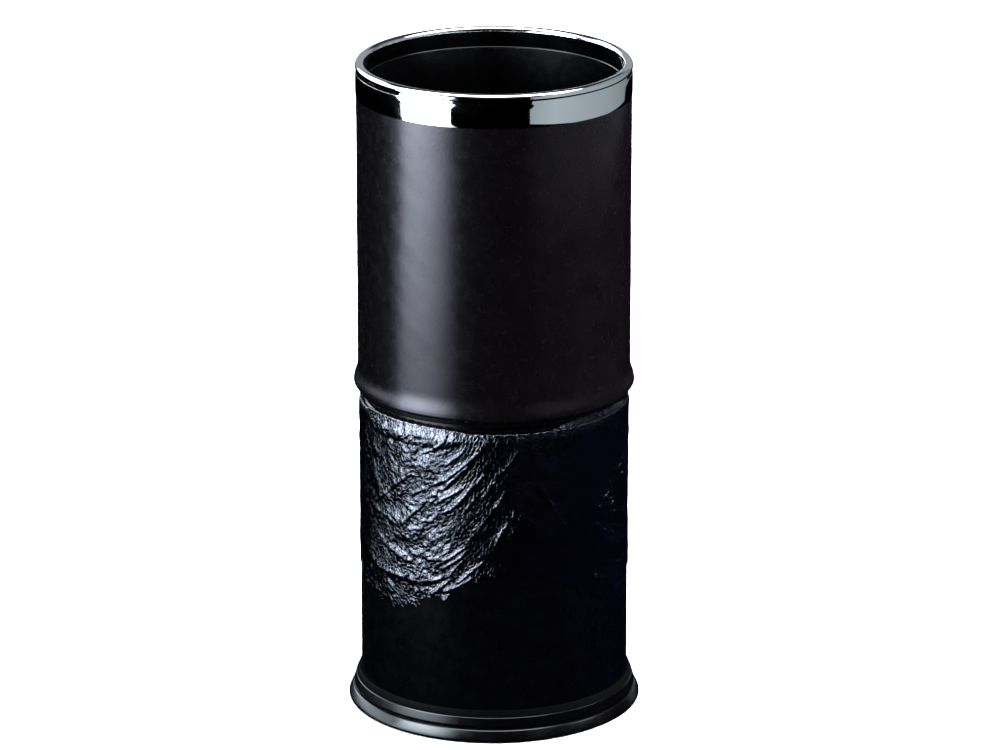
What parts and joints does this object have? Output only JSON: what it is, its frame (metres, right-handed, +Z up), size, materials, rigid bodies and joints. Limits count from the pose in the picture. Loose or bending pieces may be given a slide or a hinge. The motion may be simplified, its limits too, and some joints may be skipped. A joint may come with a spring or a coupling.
{
  "type": "umbrella stand",
  "caption": "Round open-topped umbrella stand: leather-covered sleeve with chrome ring standing on a bucket with a folded-over liner bag and a weighted base.",
  "frame": {"origin": "centre of the floor contact, on the axis, at the underside of the foot pads", "axes": "+Z up along the stand's axis, through the open top; -Y is the front and the cover's seam is at the back, at +Y"},
  "size_m": [0.268, 0.268, 0.604],
  "materials": {
    "chrome": "polished",
    "leatherette": "satin black, fine grain",
    "black_steel": "satin black paint",
    "black_plastic": "satin moulded black",
    "bag_film": "crumpled glossy black film",
    "bare_steel": "zinc plated",
    "rubber": "matt black"
  },
  "bodies": {
    "lower_section": {"foot_pad_1": "rubber", "foot_pad_2": "rubber", "foot_pad_3": "rubber", "foot_pad_4": "rubber", "base_cover": "black_plastic", "base_screw_1": "bare_steel", "base_screw_2": "bare_steel", "base_screw_3": "bare_steel", "base_screw_4": "bare_steel", "ballast_disc": "bare_steel", "base_ring": "black_plastic", "bucket_floor": "black_steel", "bucket_shell": "black_steel", "liner_bag": "bag_film"},
    "upper_section": {"neck_collar": "black_plastic", "collar_rivet_1": "bare_steel", "collar_rivet_2": "bare_steel", "collar_rivet_3": "bare_steel", "collar_rivet_4": "bare_steel", "sleeve_tube": "black_steel", "leather_wrap": "leatherette", "upper_liner": "black_plastic", "chrome_ring": "chrome"}
  },
  "joints": [
    {"name": "upper_section_lift", "type": "slide", "parent": "lower_section", "child": "upper_section", "axis": [0, 0, 1], "range_m": [0, 0.12]}
  ]
}
